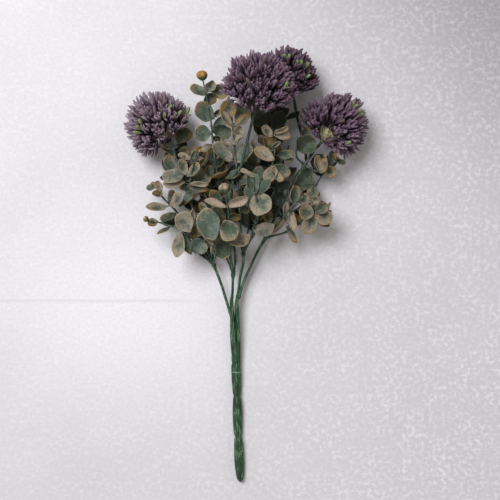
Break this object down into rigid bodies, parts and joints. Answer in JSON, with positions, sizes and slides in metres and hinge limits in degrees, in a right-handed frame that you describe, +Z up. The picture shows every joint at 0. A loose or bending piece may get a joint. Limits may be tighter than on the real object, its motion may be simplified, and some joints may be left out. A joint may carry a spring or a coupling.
{
  "type": "artificial allium flower spray",
  "caption": "Artificial spray of round purple allium heads and leafy eucalyptus sprigs on green stalks twisted into one stem, lying flat.",
  "frame": {"origin": "middle of the spray's box, on the surface that it lies on", "axes": "+Z up from the surface, +Y along the bound stem towards the heads, +X to the right as seen from above"},
  "size_m": [0.1989, 0.365, 0.0971],
  "materials": {
    "stem_green": "satin, moulded",
    "leaf_green": "matt, frosted, with tan rims",
    "floret_purple": "matt, powdery"
  },
  "bodies": {
    "root": {"bound_stem": "stem_green", "stalk_left": "stem_green", "stalk_front": "stem_green", "stalk_middle": "stem_green", "stalk_right": "stem_green", "stalk_rear": "stem_green", "sprig_front_bud": "leaf_green", "sprig_front_right": "leaf_green", "sprig_front_left": "leaf_green", "sprig_crown_left": "leaf_green", "sprig_crown_middle": "leaf_green", "sprig_crown_right": "leaf_green", "sprig_low_left": "leaf_green", "sprig_mid_left": "leaf_green", "sprig_high_left": "leaf_green", "sprig_low_right": "leaf_green", "sprig_mid_right": "leaf_green", "sprig_high_right": "leaf_green", "sprig_tip_right": "leaf_green", "sprig_neck_left": "leaf_green", "sprig_back_right": "leaf_green", "sprig_depth_left": "leaf_green", "sprig_depth_right": "leaf_green", "sprig_shade_middle": "leaf_green", "sprig_back_left": "leaf_green", "sprig_back_middle": "leaf_green", "sprig_under_right": "leaf_green", "sprig_collar_left": "leaf_green", "head_left": "floret_purple", "head_right": "floret_purple", "head_front": "floret_purple", "head_rear": "floret_purple"}
  },
  "joints": []
}
